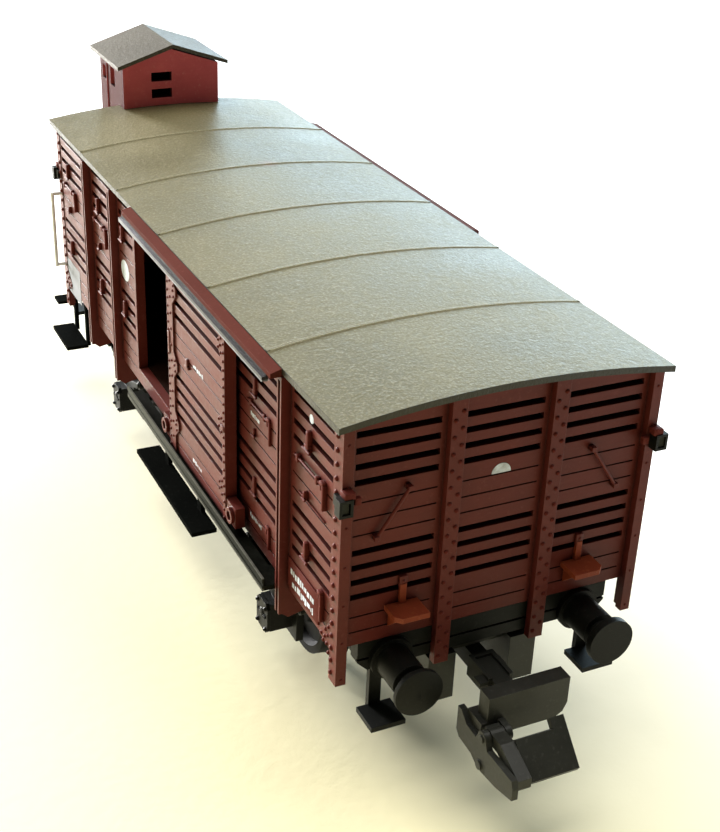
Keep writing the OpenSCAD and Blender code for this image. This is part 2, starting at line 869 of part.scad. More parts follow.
// Wheel on the right side, about x = 0: tread, flange, dished web and hub
module wheel(bore) {
    color(frame_black) translate([0, 0, axle_z]) rotate([-90, 0, 0]) rotate_extrude($fn = 96)
        polygon([[bore, wheel_in], [2, wheel_in], [2.4, wheel_in + 0.7], [4.3, wheel_in + 0.7],
                 [4.6, wheel_in], [flange_r - 0.3, wheel_in], [flange_r, wheel_in + 0.3],
                 [flange_r - 0.15, wheel_in + 0.6], [tread_r + 0.1, wheel_in + flange_w],
                 [tread_r - 0.1, wheel_out], [4.6, wheel_out], [4.3, wheel_out - 0.8],
                 [2.4, wheel_out - 0.8], [2, wheel_out], [bore, wheel_out]]);
}

// Insulating bush between the axle and the right wheel
module wheel_bush() {
    color("ivory") difference() {
        bar_y(0, wheel_in, wheel_out, axle_z, bush_r);
        bar_y(0, wheel_in - 1, wheel_out + 1, axle_z, axle_r);
    }
}

// Box under the front headstock that the drawbar swings between
module coupler_box() {
    back_x = 37;
    color(frame_black) difference() {
        union() {
            block([back_x, -leg_out, roof_z], [frame_x - headstock_t - 0.1, leg_out, plate_z]);
            for (s = [-1, 1]) side_block(s, back_x, frame_x, leg_in, leg_out, 6.4, 11.5);
        }
        translate([pivot_x, 0, roof_z - 1]) cylinder(r = pin_r, h = 3);
    }
}

// Headed pins that the two drawbars turn on
module pivot_pins() {
    color(steel) for (s = [-1, 1]) translate([s * pivot_x, 0, 0]) {
        translate([0, 0, bar_z - 0.3]) cylinder(r = pin_r, h = roof_z + 2 - bar_z + 0.3);
        translate([0, 0, bar_z - 0.8]) cylinder(r = 1.6, h = 0.6);
    }
}

// Drawbar at the front: eye, bar and the two cheeks that hold the coupler's shank
module drawbar() {
    mid_z = bar_z + bar_t / 2;
    cheek_h = 2.2;
    color(frame_black) difference() {
        union() {
            translate([pivot_x, 0, bar_z]) cylinder(r = 2, h = bar_t);
            block([pivot_x, -0.8, bar_z], [48, 0.8, bar_z + bar_t]);
            for (s = [-1, 1])
                translate([49.4, s * (shank_half + 0.2), mid_z])
                    cube([3.8, 0.4, cheek_h], center = true);
            translate([47.75, 0, mid_z]) cube([0.5, 2 * shank_half + 0.2, cheek_h], center = true);
            block([50.1, -2.2, mid_z + 0.4], [51.3, -shank_half - 0.3, mid_z + 0.8]);
            block([48.2, shank_half + 0.3, mid_z + 0.4], [49.6, 1.6, mid_z + 0.8]);
        }
        translate([pivot_x, 0, bar_z - 1]) cylinder(r = pin_r + play, h = bar_t + 2);
    }
}

// Coupler head at the front: shank, cross plate, thin jaw, a lug inside it and the loop's pin
module coupler_head() {
    mid_z = bar_z + bar_t / 2;
    color(frame_black) {
        block([48, -shank_half, mid_z - 0.8], [plate_back + 0.2, shank_half, mid_z + 0.8]);
        translate([(plate_back + plate_face) / 2, 0, 0]) along_x(plate_face - plate_back)
            polygon([[-4, 12.3], [4.3, 12.3], [4.3, 9.5], [3.9, 8.6], [3.1, 8.1], [-4, 8.1]]);
        across_y(-jaw_in - 0.1, lug_y - 0.1)
            polygon([[53.4, arm_top], [53.4, 8], [54.2, 7.4], [plate_face, 7.4],
                     [plate_face, arm_top]]);
        across_y(-jaw_in - jaw_t, -jaw_in)
            polygon([[52.6, 9.6], [53.2, 9.6], [54.2, 8.7], [55.9, 8.6], [56.2, 9.2], [57.6, 9.2],
                     [57.9, 8.5], [62, 8.6], [62.3, 7.8], [62.3, 6.7], [59.7, 6], [57.3, 5.7],
                     [56.5, 5.7], [55.3, 6.3], [53.1, 6.45], [52.6, 7]]);
        translate([loop_x, 0, loop_z]) for (y = [-jaw_in - jaw_t, lug_y])
            bar_y(0, y, y + jaw_t, 0, lug_r);
        across_y(lug_y, lug_y + jaw_t) polygon([[plate_back + 0.2, loop_z - lug_r],
            [loop_x, loop_z - lug_r], [loop_x, loop_z + lug_r], [plate_back + 0.2, loop_z + lug_r]]);
        bar_y(loop_x, -jaw_in - jaw_t - 0.15, lug_y + jaw_t + 0.15, loop_z, loop_pin_r);
        bar_y(loop_x, -jaw_in - jaw_t - 0.2, -jaw_in, 6.3, 0.45);
    }
}

// Coupler loop at the front: one arm with its eye, a sloping front plate and an upturned tip
module coupler_loop() {
    arm_out = -jaw_in + 0.1;
    arm_in = lug_y - 0.1;
    tip = [0.75, 2.15];
    color(frame_black) {
        difference() {
            union() {
                bar_y(loop_x, arm_out, arm_in, loop_z, 0.7);
                across_y(arm_out, arm_in)
                    polygon([[loop_x - 0.75, arm_top], [58.8, arm_top], [62, 8.3], [62, 7.3],
                             [61.3, 7.1], [58.4, 8.6], [loop_x - 0.4, 8.6],
                             [loop_x - 0.75, 8.9]]);
            }
            bar_y(loop_x, arm_out - 1, arm_in + 1, loop_z, loop_pin_r + play);
        }
        across_y(arm_in, tip[1]) polygon([[58.5, 9.6], [59, 10], [61.6, 7.3], [61.3, 6.8],
                                          [60.7, 6.9], [58.5, 9.2]]);
        across_y(tip[0], tip[1]) polygon([[58.5, 9.6], [57.9, 10.2], [58.3, 10.7], [59, 10]]);
    }
}

body_shell();
roof();
floor_plate();
ballast_plate();
underframe();
end_platform();
door_left();
door_right();
left_hung() door_hood();  // door_hood_left
right_hung() door_hood();  // door_hood_right
left_hung() top_rail();  // top_rail_left
right_hung() top_rail();  // top_rail_right
left_hung() lower_rail();  // lower_rail_left
right_hung() lower_rail();  // lower_rail_right
left_hung() loading_step();  // loading_step_left
right_hung() loading_step();  // loading_step_right
shunter_step(-1);  // shunter_step_front_left
shunter_step(1);  // shunter_step_front_right
rear_end() shunter_step(1);  // shunter_step_rear_left
rear_end() shunter_step(-1);  // shunter_step_rear_right
cab_step(-1);  // cab_step_left
cab_step(1);  // cab_step_right
buffer_steps();
grab_handles();
lamp_bracket(1, -1);  // lamp_bracket_front_left
lamp_bracket(1, 1);  // lamp_bracket_front_right
lamp_bracket(-1, -1);  // lamp_bracket_rear_left
lamp_bracket(-1, 1);  // lamp_bracket_rear_right
cab_shell();
cab_roof();
cab_supports();
cab_handrail(-1);  // cab_handrail_left
cab_handrail(1);  // cab_handrail_right
buffer(-1);  // buffer_front_left
buffer(1);  // buffer_front_right
rear_end() buffer(1);  // buffer_rear_left
rear_end() buffer(-1);  // buffer_rear_right
at_axle(front_axle_x, -1) axle_guard();  // axle_guard_front_left
at_axle(front_axle_x, 1) axle_guard();  // axle_guard_front_right
at_axle(rear_axle_x, -1) axle_guard();  // axle_guard_rear_left
at_axle(rear_axle_x, 1) axle_guard();  // axle_guard_rear_right
bearing_cups();
brake_gear();
at_axle(front_axle_x, 1) axle();  // axle_front
at_axle(front_axle_x, -1) wheel(axle_r);  // wheel_front_left
at_axle(front_axle_x, 1) wheel(bush_r);  // wheel_front_right
at_axle(front_axle_x, 1) wheel_bush();  // wheel_bush_front
at_axle(rear_axle_x, 1) axle();  // axle_rear
at_axle(rear_axle_x, -1) wheel(axle_r);  // wheel_rear_left
at_axle(rear_axle_x, 1) wheel(bush_r);  // wheel_rear_right
at_axle(rear_axle_x, 1) wheel_bush();  // wheel_bush_rear
coupler_box();  // coupler_box_front
rear_end() coupler_box();  // coupler_box_rear
pivot_pins();
drawbar();  // drawbar_front
rear_end() drawbar();  // drawbar_rear
coupler_head();  // coupler_head_front
rear_end() coupler_head();  // coupler_head_rear
coupler_loop();  // coupler_loop_front
rear_end() coupler_loop();  // coupler_loop_rear
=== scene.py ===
"""Looks for the slatted model box car: materials, rivets, fittings, marks, floor and light.

Lengths are written in millimetres and multiplied by MM. The frame is the CAD's: X along the car
with the buffered plain end at +X, Y across, Z up, floor at 0.
"""
import json
import math
import random

import bmesh
import bpy
from mathutils import Matrix, Quaternion, Vector


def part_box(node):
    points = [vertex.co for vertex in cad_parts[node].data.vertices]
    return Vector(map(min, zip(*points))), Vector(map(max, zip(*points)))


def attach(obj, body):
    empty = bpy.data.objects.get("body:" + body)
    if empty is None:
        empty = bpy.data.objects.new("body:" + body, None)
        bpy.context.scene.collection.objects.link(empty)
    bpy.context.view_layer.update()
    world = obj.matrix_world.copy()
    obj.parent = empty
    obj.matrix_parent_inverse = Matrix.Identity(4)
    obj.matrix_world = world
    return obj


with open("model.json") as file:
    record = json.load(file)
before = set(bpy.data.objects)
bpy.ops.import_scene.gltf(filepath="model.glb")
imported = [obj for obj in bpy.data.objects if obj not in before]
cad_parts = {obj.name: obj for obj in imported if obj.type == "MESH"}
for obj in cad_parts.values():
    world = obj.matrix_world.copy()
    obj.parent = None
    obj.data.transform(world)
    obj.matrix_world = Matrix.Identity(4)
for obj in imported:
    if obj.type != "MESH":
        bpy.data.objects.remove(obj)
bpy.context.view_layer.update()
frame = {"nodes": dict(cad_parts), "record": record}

MM = 0.001
TOOL_LINES = 900.0  # scale of the fine lines on metal
rng = random.Random(20)


# ---------------------------------------------------------------- camera
def make_camera():
    place = Vector((134.8, -56.7, 88.7)) * MM
    target = Vector((20.1, 0.0, 21.8)) * MM
    data = bpy.data.cameras.new("camera")
    data.sensor_width = 36.0
    data.lens = 59.39
    data.clip_start, data.clip_end = 0.005, 20.0
    cam = bpy.data.objects.new("camera", data)
    bpy.context.scene.collection.objects.link(cam)
    cam.rotation_mode = "QUATERNION"
    cam.location = place
    roll = Quaternion((0.0, 0.0, 1.0), math.radians(2.42))
    cam.rotation_quaternion = (target - place).to_track_quat("-Z", "Y") @ roll
    bpy.context.scene.camera = cam


make_camera()


# ---------------------------------------------------------------- materials
class Tree:
    """A material's node tree, with short calls for the nodes used here."""

    def __init__(self, name):
        self.mat = bpy.data.materials.new(name)
        self.mat.use_nodes = True
        self.tree = self.mat.node_tree
        self.shader = self.tree.nodes["Principled BSDF"]
        self.where = self.tree.nodes.new("ShaderNodeTexCoord").outputs["Object"]

    def feed(self, socket, value):
        if isinstance(value, bpy.types.NodeSocket):
            self.tree.links.new(value, socket)
        else:
            socket.default_value = value

    def node(self, kind, **inputs):
        made = self.tree.nodes.new(kind)
        for key, value in inputs.items():
            self.feed(made.inputs[key.replace("_", " ")], value)
        return made

    def scaled(self, sx, sy, sz):
        made = self.node("ShaderNodeMapping", Vector=self.where)
        made.inputs["Scale"].default_value = (sx, sy, sz)
        return made.outputs[0]

    def noise(self, scale, detail=3.0, rough=0.5, where=None):
        made = self.node("ShaderNodeTexNoise", Vector=where or self.where, Scale=scale,
                         Detail=detail, Roughness=rough)
        return made.outputs["Fac"]

    def ramp(self, value, low, high, out_low=0.0, out_high=1.0):
        made = self.node("ShaderNodeMapRange", Value=value)
        made.clamp = True
        for key, number in (("From Min", low), ("From Max", high), ("To Min", out_low),
                            ("To Max", out_high)):
            self.feed(made.inputs[key], number)
        return made.outputs[0]

    def math(self, kind, a, b=0.5):
        made = self.tree.nodes.new("ShaderNodeMath")
        made.operation = kind
        for socket, value in zip(made.inputs, (a, b)):
            self.feed(socket, value)
        return made.outputs[0]

    def mix(self, factor, a, b, kind="MIX"):
        made = self.tree.nodes.new("ShaderNodeMix")
        made.data_type = "RGBA"
        made.blend_type = kind
        self.feed(made.inputs["Factor"], factor)
        for key, value in (("A", a), ("B", b)):
            socket = next(s for s in made.inputs if s.name == key and s.type == "RGBA")
            self.feed(socket, value if isinstance(value, bpy.types.NodeSocket) else (*value, 1.0))
        return next(s for s in made.outputs if s.type == "RGBA")

    def axes(self):
        """The place on the object, as separate X, Y and Z in metres."""
        return self.node("ShaderNodeSeparateXYZ", Vector=self.where).outputs

    def soft_normal(self, radius):
        """The surface's normal with the edges rounded over the radius."""
        soft = self.node("ShaderNodeBevel", Radius=radius)
        soft.samples = 4
        return soft.outputs[0]

    def edges(self, radius):
        """1 along convex and concave edges closer than the radius, 0 on flat surfaces."""
        soft = self.soft_normal(radius)
        flat = self.tree.nodes.new("ShaderNodeNewGeometry").outputs["Normal"]
        dot = self.tree.nodes.new("ShaderNodeVectorMath")
        dot.operation = "DOT_PRODUCT"
        self.feed(dot.inputs[0], soft)
        self.feed(dot.inputs[1], flat)
        return self.ramp(dot.outputs["Value"], 0.995, 0.9)

    def hollow(self, distance):
        """1 in corners, grooves and round the feet of rivets, 0 on open surfaces."""
        near = self.node("ShaderNodeAmbientOcclusion", Distance=distance)
        near.samples = 6
        near.only_local = False
        return self.ramp(near.outputs["AO"], 0.85, 0.35)

    def bump(self, height, distance, under=None):
        made = self.node("ShaderNodeBump", Height=height, Distance=distance, Strength=1.0)
        if under is not None:
            self.feed(made.inputs["Normal"], under)
        return made.outputs[0]

    def surface(self, colour=None, rough=None, normal=None, metallic=None, specular=None,
                ior=None):
        for key, value in (("Base Color", colour), ("Roughness", rough), ("Normal", normal),
                           ("Metallic", metallic), ("Specular IOR Level", specular), ("IOR", ior)):
            if value is not None:
                self.feed(self.shader.inputs[key], value)
        return self.mat


def moulded_plastic(name, colour, dark, worn, rough, specular=0.5, grain=0.012, wear=0.5,
                    crevice_shade=0.0, rub=0.14, side=None, ior=1.5):
    """Printed and moulded plastic: cloudy tone, faint plank grain, orange-peel skin, rubbed edges.

    rub is how far in mm the wear reaches from an edge; side is the tone of faces not turned to +X,
    a painted shade on the faces turned to the lamps. The darkening into corners, grooves and round
    the feet of rivets is painted shade.
    """
    t = Tree(name)
    cloud = t.noise(170.0, 4.0, 0.6)
    grain_map = t.noise(1.0, 4.0, 0.65, t.scaled(110.0, 110.0, 2600.0))
    peel = t.noise(5200.0, 2.0, 0.5)
    speck = t.noise(2300.0, 3.0, 0.6)
    tone = t.mix(t.ramp(cloud, 0.3, 0.7), dark, colour)
    tone = t.mix(t.ramp(grain_map, 0.35, 0.7, 0.0, 0.35), tone, dark)
    tone = t.mix(t.ramp(speck, 0.58, 0.8, 0.0, 0.45), tone, worn)
    patchy = t.ramp(t.noise(900.0, 3.0, 0.6), 0.35, 0.65)
    edge = t.math("MULTIPLY", t.edges(rub * MM), patchy)
    tone = t.mix(t.math("MULTIPLY", edge, wear), tone, worn)
    # Painted shade: faces not turned to +X take the darker side tone.
    if side:
        facing = t.node("ShaderNodeSeparateXYZ",
                        Vector=t.tree.nodes.new("ShaderNodeNewGeometry").outputs["Normal"])
        tone = t.mix(t.ramp(facing.outputs["X"], 0.3, 0.8), side, tone)
    # Painted shade: corners, grooves and the feet of rivets are darkened towards near black.
    if crevice_shade:
        shade = tuple(c * 0.12 for c in dark)
        tone = t.mix(t.math("MULTIPLY", t.hollow(0.8 * MM), crevice_shade), tone, shade)
    polish = t.ramp(t.math("ADD", cloud, speck), 0.7, 1.3, rough - 0.07, rough + 0.09)
    skin = t.bump(peel, 0.006 * MM, under=t.soft_normal(0.06 * MM))
    skin = t.bump(grain_map, grain * MM, under=skin)
    return t.surface(tone, polish, skin, specular=specular, ior=ior)


def pebbled_plastic(name, colour, dark, light, rough, specular=0.5, rim=None, stain=None):
    """The roofs: a felt-like pebbled skin with a satin sheen that catches the window light.

    rim is (middle, reach in X, reach in Y) in mm: the seams inside the reach get a painted
    highlight and glow, and the roof beyond the reach a painted shade.
    stain is the middle of a small brown spot, in mm.
    """
    t = Tree(name)
    cloud = t.noise(60.0, 4.0, 0.55)
    pebble = t.noise(1500.0, 3.0, 0.6)
    fine = t.noise(4200.0, 2.0, 0.5)
    tone = t.mix(t.ramp(cloud, 0.35, 0.65), dark, colour)
    tone = t.mix(t.ramp(fine, 0.5, 0.75, 0.0, 0.45), tone, light)
    tone = t.mix(t.ramp(fine, 0.48, 0.33, 0.0, 0.45), tone, dark)
    tone = t.mix(t.ramp(pebble, 0.45, 0.3, 0.0, 0.3), tone, dark)
    if stain:
        away = t.node("ShaderNodeVectorMath", Vector=t.where)
        away.operation = "DISTANCE"
        away.inputs[1].default_value = Vector(stain) * MM
        spread = t.math("ADD", away.outputs["Value"], t.math("MULTIPLY", fine, 0.0012))
        tone = t.mix(t.ramp(spread, 0.0021, 0.0008, 0.0, 0.55), tone, (0.2, 0.1, 0.06))
    if rim:
        middle, reach_x, reach_y = rim
        x, y, _ = t.axes()
        along = t.math("ABSOLUTE", t.math("SUBTRACT", x, middle * MM))
        across = t.math("ABSOLUTE", y)
        inside = t.math("MULTIPLY", t.math("LESS_THAN", along, (reach_x - 0.5) * MM),
                        t.math("LESS_THAN", across, (reach_y - 0.3) * MM))
        # Painted light: the seams inside the reach are lightened and made to glow.
        lit_seam = t.math("MULTIPLY", t.edges(0.1 * MM), inside)
        tone = t.mix(t.math("MULTIPLY", lit_seam, 0.8), tone, light)
        t.feed(t.shader.inputs["Emission Color"], (*light, 1.0))
        t.feed(t.shader.inputs["Emission Strength"], t.math("MULTIPLY", lit_seam, 0.85))
        # Painted shade: the roof's faces beyond the reach are made dark.
        shaded_rim = t.math("MAXIMUM", t.math("GREATER_THAN", along, reach_x * MM),
                         t.math("GREATER_THAN", across, reach_y * MM))
        tone = t.mix(shaded_rim, tone, tuple(c * 0.22 for c in dark))
    skin = t.bump(fine, 0.03 * MM)
    skin = t.bump(pebble, 0.05 * MM, under=skin)
    polish = t.ramp(t.math("ADD", pebble, cloud), 0.7, 1.3, rough - 0.06, rough + 0.08)
    return t.surface(tone, polish, skin, specular=specular)


def metal(name, colour, dark, rough, metallic=1.0, specular=0.5):
    """Turned or drawn metal: fine tool lines, dull patches, a few brighter rubs."""
    t = Tree(name)
    lines = t.noise(1.0, 3.0, 0.6, t.scaled(TOOL_LINES, TOOL_LINES, TOOL_LINES))
    cloud = t.noise(420.0, 4.0, 0.6)
    tone = t.mix(t.ramp(cloud, 0.35, 0.65), dark, colour)
    tone = t.mix(t.ramp(lines, 0.3, 0.7, 0.0, 0.3), tone, dark)
    polish = t.ramp(cloud, 0.3, 0.7, rough - 0.06, rough + 0.1)
    return t.surface(tone, polish, t.bump(lines, 0.004 * MM), metallic=metallic, specular=specular)


def rail_plastic(name, light, dark):
    """The lower rails: black inside the channel, pale along both edges of the lip and far away as a
    painted reflection.
    """
    t = Tree(name)
    x, y, z = t.axes()
    patchy = t.noise(900.0, 3.0, 0.6)
    lip = t.math("GREATER_THAN", t.math("ABSOLUTE", y), 17.28 * MM)
    # Painted reflection: the lip is pale along its top and bottom edges and towards -X.
    line = t.math("MAXIMUM", t.ramp(z, 15.96 * MM, 16.02 * MM), t.ramp(z, 14.98 * MM, 14.9 * MM))
    painted_sheen = t.math("MAXIMUM", t.math("MULTIPLY", line, t.ramp(patchy, 0.2, 0.5, 0.5, 1.0)),
                   t.ramp(x, 22 * MM, 4 * MM, 0.12, 0.75))
    tone = t.mix(t.ramp(patchy, 0.35, 0.65), dark, tuple(c * 1.8 for c in dark))
    tone = t.mix(t.math("MULTIPLY", lip, painted_sheen), tone, light)
    return t.surface(tone, t.ramp(patchy, 0.3, 0.7, 0.5, 0.62), t.bump(t.noise(3600.0), 0.01 * MM),
                     specular=0.05, ior=1.2)


def printed_paint(name, colour, dark, rough, fade=None):
    """Pad-printed marks and painted strips: thin, slightly uneven, worn through in specks.

    fade is (lower end of an upper part made near black as painted shade, its start and end along
    the car), in mm.
    """
    t = Tree(name)
    cloud = t.noise(800.0, 4.0, 0.65)
    speck = t.noise(3600.0, 3.0, 0.6)
    tone = t.mix(t.ramp(cloud, 0.35, 0.65), dark, colour)
    if fade:
        low, start, end = fade
        x, _, z = t.axes()
        # Painted shade: above the lower end the strip turns near black towards +X.
        fade_shade = t.ramp(t.math("ADD", x, t.math("MULTIPLY", cloud, 0.012)), start * MM, end * MM)
        above = t.ramp(z, low * MM, (low + 0.06) * MM)
        tone = t.mix(t.math("MULTIPLY", fade_shade, above), tone, (0.01, 0.01, 0.011))
    tone = t.mix(t.ramp(speck, 0.6, 0.8, 0.0, 0.6), tone, dark)
    return t.surface(tone, t.ramp(speck, 0.3, 0.7, rough - 0.05, rough + 0.1),
                     t.bump(speck, 0.01 * MM), specular=0.4)


BODY = dict(colour=(0.122, 0.0215, 0.0155), dark=(0.09, 0.0155, 0.011), worn=(0.17, 0.05, 0.04))
cad_roof_lo, cad_roof_hi = (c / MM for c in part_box("roof"))
slots = {
    "red_brown_plastic": moulded_plastic("red_brown_plastic", rough=0.4, specular=0.14, crevice_shade=0.85,
                                         **BODY),
    # Painted light and shade: the cab's faces turned to +X get this brightened red, its other faces
    # the dark side tone.
    "cab_red_plastic": moulded_plastic(
        "cab_red_plastic", (0.74, 0.15, 0.16), (0.6, 0.11, 0.12), (0.8, 0.3, 0.28), 0.6, 0.1,
        side=(0.065, 0.0155, 0.0145), ior=1.2),
    "step_brown_plastic": moulded_plastic(
        "step_brown_plastic", (0.28, 0.05, 0.018), (0.19, 0.034, 0.013), (0.4, 0.12, 0.05),
        0.5, 0.14),
    "roof_grey_plastic": pebbled_plastic(
        "roof_grey_plastic", (0.15, 0.131, 0.058), (0.105, 0.092, 0.04), (0.32, 0.295, 0.19), 0.45,
        specular=0.34, stain=(-12.5, 2.5, cad_roof_hi.z - 0.1),
        rim=((cad_roof_lo.x + cad_roof_hi.x) / 2, (cad_roof_hi.x - cad_roof_lo.x) / 2 - 0.02,
             cad_roof_hi.y - 0.02)),
    # Painted shade: the top rails' upper part turns near black towards +X.
    "rail_grey_paint": printed_paint(
        "rail_grey_paint", (0.17, 0.175, 0.2), (0.1, 0.103, 0.12), 0.45, fade=(36.58, 2, 14)),
    "frame_black_plastic": moulded_plastic(
        "frame_black_plastic", (0.006, 0.0065, 0.005), (0.0035, 0.004, 0.003),
        (0.03, 0.031, 0.026), 0.46, specular=0.14, grain=0.006, wear=0.4),
    "blackened_metal": metal("blackened_metal", (0.012, 0.012, 0.012), (0.006, 0.006, 0.006),
                             0.55, 0.1, specular=0.08),
    "bare_steel": metal("bare_steel", (0.55, 0.55, 0.54), (0.35, 0.35, 0.35), 0.28),
    "brass": metal("brass", (0.72, 0.52, 0.22), (0.45, 0.31, 0.12), 0.3),
    "insulator_plastic": printed_paint(
        "insulator_plastic", (0.62, 0.58, 0.48), (0.48, 0.44, 0.35), 0.4),
}
white_print = printed_paint("white_print", (0.68, 0.76, 0.84), (0.4, 0.42, 0.45), 0.5)
panel_grey = moulded_plastic("panel_grey", (0.3, 0.31, 0.33), (0.2, 0.21, 0.23), (0.36, 0.37, 0.38),
                             0.6, specular=0.1)

for part in frame["record"]["subparts"]:
    node = frame["nodes"][part["node"]]
    node.data.materials.clear()
    node.data.materials.append(slots[part["material_slot"]])

# Some nodes differ in tone from the rest of their slot: the lower rails carry a painted reflection,
# the hoods are darker as painted shade, the steps are darker, the floor is nearly black, the
# handrails are pale, the wheels are blackened, the couplers are a greyer black than the frame, and
# the cab's roof is duller than the main one.
rail_dark = rail_plastic("lower_rail_grey", (0.1, 0.1, 0.085), (0.006, 0.0065, 0.005))
floor_dark = moulded_plastic("floor_brown", (0.022, 0.009, 0.005), (0.014, 0.006, 0.004),
                             (0.035, 0.015, 0.01), 0.6, specular=0.05, ior=1.2)
socket_grey = moulded_plastic("socket_grey", (0.04, 0.042, 0.034), (0.028, 0.03, 0.024),
                              (0.06, 0.062, 0.05), 0.6, specular=0.05)
step_black = moulded_plastic("step_black", (0.005, 0.0055, 0.0045), (0.003, 0.0035, 0.003),
                             (0.02, 0.021, 0.018), 0.6, specular=0.02, grain=0.006, wear=0.4,
                             ior=1.12)
# Painted shade: the hoods take a darker red than the body's.
hood_red = moulded_plastic("hood_red", (0.1, 0.026, 0.018), (0.08, 0.021, 0.015),
                           (0.17, 0.05, 0.04), 0.55, specular=0.04, wear=0.3, ior=1.2)
rivet_red = moulded_plastic("rivet_red", rough=0.55, specular=0.06, crevice_shade=0.6, **BODY)
coupler_grey = moulded_plastic("coupler_grey", (0.03, 0.031, 0.025), (0.02, 0.021, 0.017),
                               (0.08, 0.08, 0.068), 0.42, specular=0.3, grain=0.006, wear=0.4)
cab_roof_dull = pebbled_plastic("cab_roof_grey", (0.085, 0.075, 0.053), (0.061, 0.053, 0.037),
                                (0.2, 0.18, 0.14), 0.55, specular=0.18)
pale_wire = printed_paint("handrail_paint", (0.8, 0.8, 0.78), (0.6, 0.6, 0.58), 0.35)
for node in frame["nodes"].values():
    if node.name.startswith("cab_handrail"):
        node.data.materials[0] = pale_wire
    elif node.name.startswith("lower_rail"):
        node.data.materials[0] = rail_dark
    elif node.name.startswith("wheel_"):
        node.data.materials[0] = slots["blackened_metal"]
    elif node.name == "floor_plate":
        node.data.materials[0] = floor_dark
    elif node.name.startswith("door_hood"):
        node.data.materials[0] = hood_red
    elif node.name.startswith(("loading_step", "cab_step")):
        node.data.materials[0] = step_black
    elif node.name.startswith(("coupler_", "drawbar_")):
        node.data.materials[0] = coupler_grey
    elif node.name == "cab_roof":
        node.data.materials[0] = cab_roof_dull


# ---------------------------------------------------------------- mesh helpers
SHARP_ANGLE = 38  # degrees between faces from which an edge stays sharp


def add_block(bm, lo, hi, soft=0.05):
    """A box between two corners in mm, with its edges rounded by soft."""
    lo, hi = Vector(lo), Vector(hi)
    made = bmesh.ops.create_cube(bm, size=1.0)["verts"]
    size = hi - lo
    for v in made:
        v.co = Vector((v.co.x * size.x, v.co.y * size.y, v.co.z * size.z))
    if soft:
        width = min(soft, min(abs(c) for c in size) * 0.3)
        edges = list({e for v in made for e in v.link_edges})
        out = bmesh.ops.bevel(bm, geom=edges, offset=width, segments=2, profile=0.5,
                              affect="EDGES")
        made = list({v for f in out["faces"] for v in f.verts} | {v for v in made if v.is_valid})
    middle = (lo + hi) / 2
    for v in made:
        v.co = v.co + middle


def add_turned(bm, start, end, profile, sides=16):
    """A solid of revolution from start towards end; profile is [(distance along, radius)] in mm."""
    start, end = Vector(start), Vector(end)
    axis = (end - start).normalized()
    side = axis.orthogonal().normalized()
    other = axis.cross(side)
    rings = []
    for along, radius in profile:
        centre = start + axis * along
        if radius < 1e-6:
            rings.append([bm.verts.new(centre)])
            continue
        rings.append([bm.verts.new(centre + (side * math.cos(a) + other * math.sin(a)) * radius)
                      for a in (math.tau * i / sides for i in range(sides))])
    for low, high in zip(rings, rings[1:]):
        for i in range(sides):
            j = (i + 1) % sides
            quad = [low[i % len(low)], low[j % len(low)], high[j % len(high)],
                    high[i % len(high)]]
            unique = list(dict.fromkeys(quad))
            if len(unique) > 2:
                bm.faces.new(unique)


def add_rod(bm, start, end, radius):
    length = (Vector(end) - Vector(start)).length
    tip = min(radius * 0.3, length * 0.2)
    add_turned(bm, start, end, [(0, 0), (0, radius - tip), (tip, radius), (length - tip, radius),
                                (length, radius - tip), (length, 0)], 12)


def add_rivet(bm, at, out, radius=0.17, height=0.12, sunk=0.03):
    """A domed rivet head standing on a surface, its foot a little inside it."""
    at, out = Vector(at), Vector(out).normalized()
    profile = [(0.0, radius), (sunk, radius)]
    for k in (1, 2):
        a = math.radians(30 * k + 5)
        profile.append((sunk + height * math.sin(a), radius * math.cos(a)))
    profile.append((sunk + height, 0.0))
    add_turned(bm, at - out * sunk, at, [(0, 0)] + profile, 8)


def piece(name, fill, body, slot=None, material=None):
    """A mesh object made by fill(bm) in millimetres, riding on a body."""
    bm = bmesh.new()
    fill(bm)
    bmesh.ops.recalc_face_normals(bm, faces=bm.faces)
    bm.transform(Matrix.Scale(MM, 4))
    mesh = bpy.data.meshes.new(name)
    bm.to_mesh(mesh)
    bm.free()
    for face in mesh.polygons:
        face.use_smooth = True
    mesh.materials.append(material or slots[slot])
    made = bpy.data.objects.new(name, mesh)
    bpy.context.scene.collection.objects.link(made)
    split = made.modifiers.new("edges", "EDGE_SPLIT")
    split.split_angle = math.radians(SHARP_ANGLE)
    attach(made, body)


# ---------------------------------------------------------------- landmarks, in mm, from the CAD
def box_mm(name):
    lo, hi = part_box(name)
    return lo / MM, hi / MM


shell_lo, shell_hi = box_mm("body_shell")
MIDDLE = (shell_lo.x + shell_hi.x) / 2
END_POST = shell_hi.x
END_POST_PROUD, SIDE_POST_PROUD = 0.8, 0.95
END_WALL = END_POST - END_POST_PROUD
PLANK = shell_hi.y - SIDE_POST_PROUD
CORNER = PLANK + 0.1
left_lo, left_hi = box_mm("door_left")
right_lo, right_hi = box_mm("door_right")
DOOR_LEFT_FACE = left_lo.y + 0.25
ROLLER_REACH = 2.5
DOOR_HALF = (left_hi.x - left_lo.x) / 2 - ROLLER_REACH
LEFT_DOOR_X = (left_lo.x + left_hi.x) / 2
RIGHT_DOOR_X = (right_lo.x + right_hi.x) / 2


def half_turn(bm):
    """Turns a whole left-side or front-end piece half round about the body's middle."""
    for v in bm.verts:
        v.co = Vector((2 * MIDDLE - v.co.x, -v.co.y, v.co.z))


def turned(fill):
    """The same filling, turned half round about the body's middle."""
    def fill_turned(bm):
        fill(bm)
        half_turn(bm)
    return fill_turned


def both_sides(name, fill, slot=None, material=None):
    """A piece of the left side wall and its copy, turned half round, on the right."""
    piece(name + "_left", fill, "car", slot, material)
    piece(name + "_right", turned(fill), "car", slot, material)


